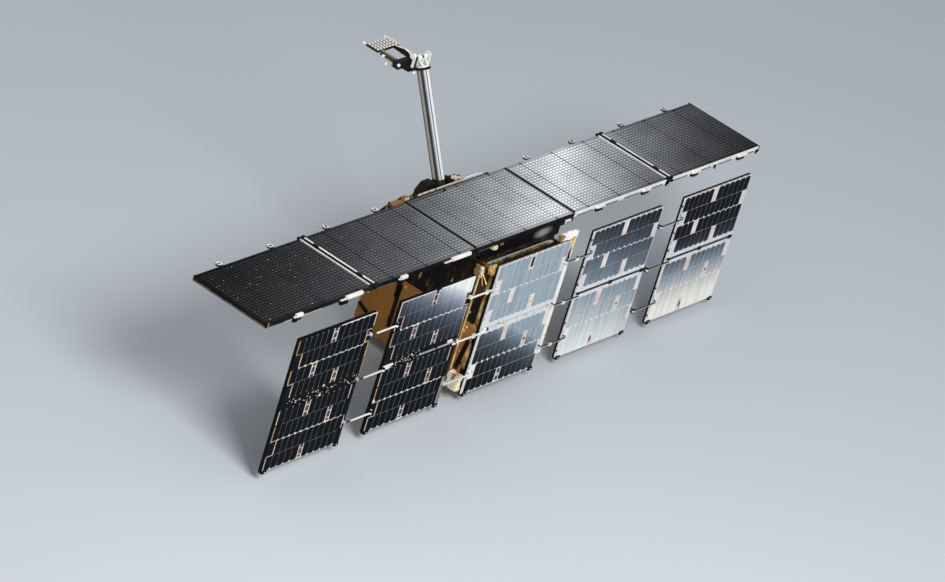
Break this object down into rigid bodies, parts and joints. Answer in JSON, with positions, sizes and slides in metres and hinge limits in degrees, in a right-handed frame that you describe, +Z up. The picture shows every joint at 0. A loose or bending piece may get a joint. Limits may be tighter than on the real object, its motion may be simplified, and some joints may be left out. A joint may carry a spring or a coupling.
{
  "type": "radar microsatellite",
  "caption": "Box-bodied radar satellite with a flat folding antenna on top, a folding solar array in front and a gimballed plate antenna on a mast.",
  "frame": {"origin": "centre of the separation ring's lower face, on the floor", "axes": "+X along the antenna and the solar array, +Y from the solar side to the back, +Z up"},
  "size_m": [3.194, 1.061, 1.1182],
  "materials": {
    "gold_foil": "crumpled gold film blanket over the body",
    "machined": "machined, clear anodised",
    "brown_panel": "flat amber-brown film on a side panel",
    "black_panel": "matt black",
    "antenna_face": "dark grey ribbed radiating face",
    "solar_face": "dark cells on a pale board",
    "white_fitting": "white coated metal",
    "steel_rod": "fine brushed rod",
    "polished_tube": "polished tube",
    "dark_fitting": "black coated fitting",
    "dish_plate": "black plate with white cups",
    "white_gold": "pale gold film over a small box"
  },
  "bodies": {
    "bus": {"antenna_beams": "dark_fitting", "antenna_panel_3": "antenna_face", "back_strip": "white_gold", "bus_core": "gold_foil", "corner_box": "white_gold", "deck_boxes": "dark_fitting", "deck_plate": "black_panel", "deck_rod": "steel_rod", "front_fascia": "black_panel", "front_flange": "white_gold", "gold_bracket": "gold_foil", "lower_side_panel_left": "brown_panel", "lower_side_panel_right": "brown_panel", "mast_clevis": "dark_fitting", "radiator": "white_fitting", "root_hinge_brackets": "dark_fitting", "separation_ring": "machined", "side_straps": "black_panel", "solar_pads": "dark_fitting", "solar_panel_3": "solar_face", "solar_rods_3": "steel_rod", "star_trackers": "black_panel", "thruster": "dark_fitting", "upper_side_panel_left": "black_panel", "upper_side_panel_right": "black_panel"},
    "antenna_wing_1": {"antenna_panel_1": "antenna_face", "edge_lugs_1": "white_fitting", "seam_bar_1": "white_fitting"},
    "antenna_wing_2": {"antenna_panel_2": "antenna_face", "edge_lugs_2": "white_fitting", "seam_bar_2": "white_fitting", "root_knuckles_2": "dark_fitting"},
    "antenna_wing_4": {"antenna_panel_4": "antenna_face", "edge_lugs_4": "white_fitting", "seam_bar_4": "white_fitting", "root_knuckles_4": "dark_fitting"},
    "antenna_wing_5": {"antenna_panel_5": "antenna_face", "edge_lugs_5": "white_fitting", "seam_bar_5": "white_fitting"},
    "solar_wing_1": {"solar_panel_1": "solar_face", "solar_rods_1": "steel_rod"},
    "solar_wing_2": {"solar_panel_2": "solar_face", "solar_rods_2": "steel_rod", "outer_forks_2": "dark_fitting"},
    "solar_wing_4": {"solar_panel_4": "solar_face", "solar_rods_4": "steel_rod", "outer_forks_4": "dark_fitting"},
    "solar_wing_5": {"solar_panel_5": "solar_face", "solar_rods_5": "steel_rod"},
    "mast": {"mast_root": "dark_fitting", "mast_tube": "polished_tube", "mast_cap": "dark_fitting"},
    "head_base": {"head_yoke": "white_fitting"},
    "head": {"head_frame": "dark_fitting", "dish_plate": "dish_plate", "head_pins": "white_fitting"}
  },
  "joints": [
    {"name": "antenna_fold_2", "type": "hinge", "parent": "bus", "child": "antenna_wing_2", "pos_m": [-0.322, 0, 0.66], "axis": [0, -1, 0], "range_deg": [0, 90]},
    {"name": "antenna_fold_1", "type": "hinge", "parent": "antenna_wing_2", "child": "antenna_wing_1", "pos_m": [-0.96, 0, 0.709], "axis": [0, 1, 0], "range_deg": [0, 180]},
    {"name": "solar_fold_2", "type": "hinge", "parent": "bus", "child": "solar_wing_2", "pos_m": [-0.296, -0.315, 0.342], "axis": [0, 0, -1], "range_deg": [0, 90]},
    {"name": "solar_fold_1", "type": "hinge", "parent": "solar_wing_2", "child": "solar_wing_1", "pos_m": [-0.8585, -0.315, 0.342], "axis": [0, 0, 1], "range_deg": [0, 180]},
    {"name": "antenna_fold_4", "type": "hinge", "parent": "bus", "child": "antenna_wing_4", "pos_m": [0.322, 0, 0.66], "axis": [0, 1, 0], "range_deg": [0, 90]},
    {"name": "antenna_fold_5", "type": "hinge", "parent": "antenna_wing_4", "child": "antenna_wing_5", "pos_m": [0.96, 0, 0.709], "axis": [0, -1, 0], "range_deg": [0, 180]},
    {"name": "solar_fold_4", "type": "hinge", "parent": "bus", "child": "solar_wing_4", "pos_m": [0.296, -0.315, 0.342], "axis": [0, 0, 1], "range_deg": [0, 90]},
    {"name": "solar_fold_5", "type": "hinge", "parent": "solar_wing_4", "child": "solar_wing_5", "pos_m": [0.8585, -0.315, 0.342], "axis": [0, 0, -1], "range_deg": [0, 180]},
    {"name": "mast_fold", "type": "hinge", "parent": "bus", "child": "mast", "pos_m": [0.033, 0.236, 0.643], "axis": [-1, 0, 0], "range_deg": [0, 60]},
    {"name": "head_turn", "type": "hinge", "parent": "mast", "child": "head_base", "pos_m": [0.033, 0.4699, 1.05642], "axis": [0, 0.4924, 0.8704], "range_deg": [-170, 170]},
    {"name": "head_tilt", "type": "hinge", "parent": "head_base", "child": "head", "pos_m": [0.033, 0.4896, 1.09123], "axis": [1, 0, 0], "range_deg": [-20, 80]}
  ]
}
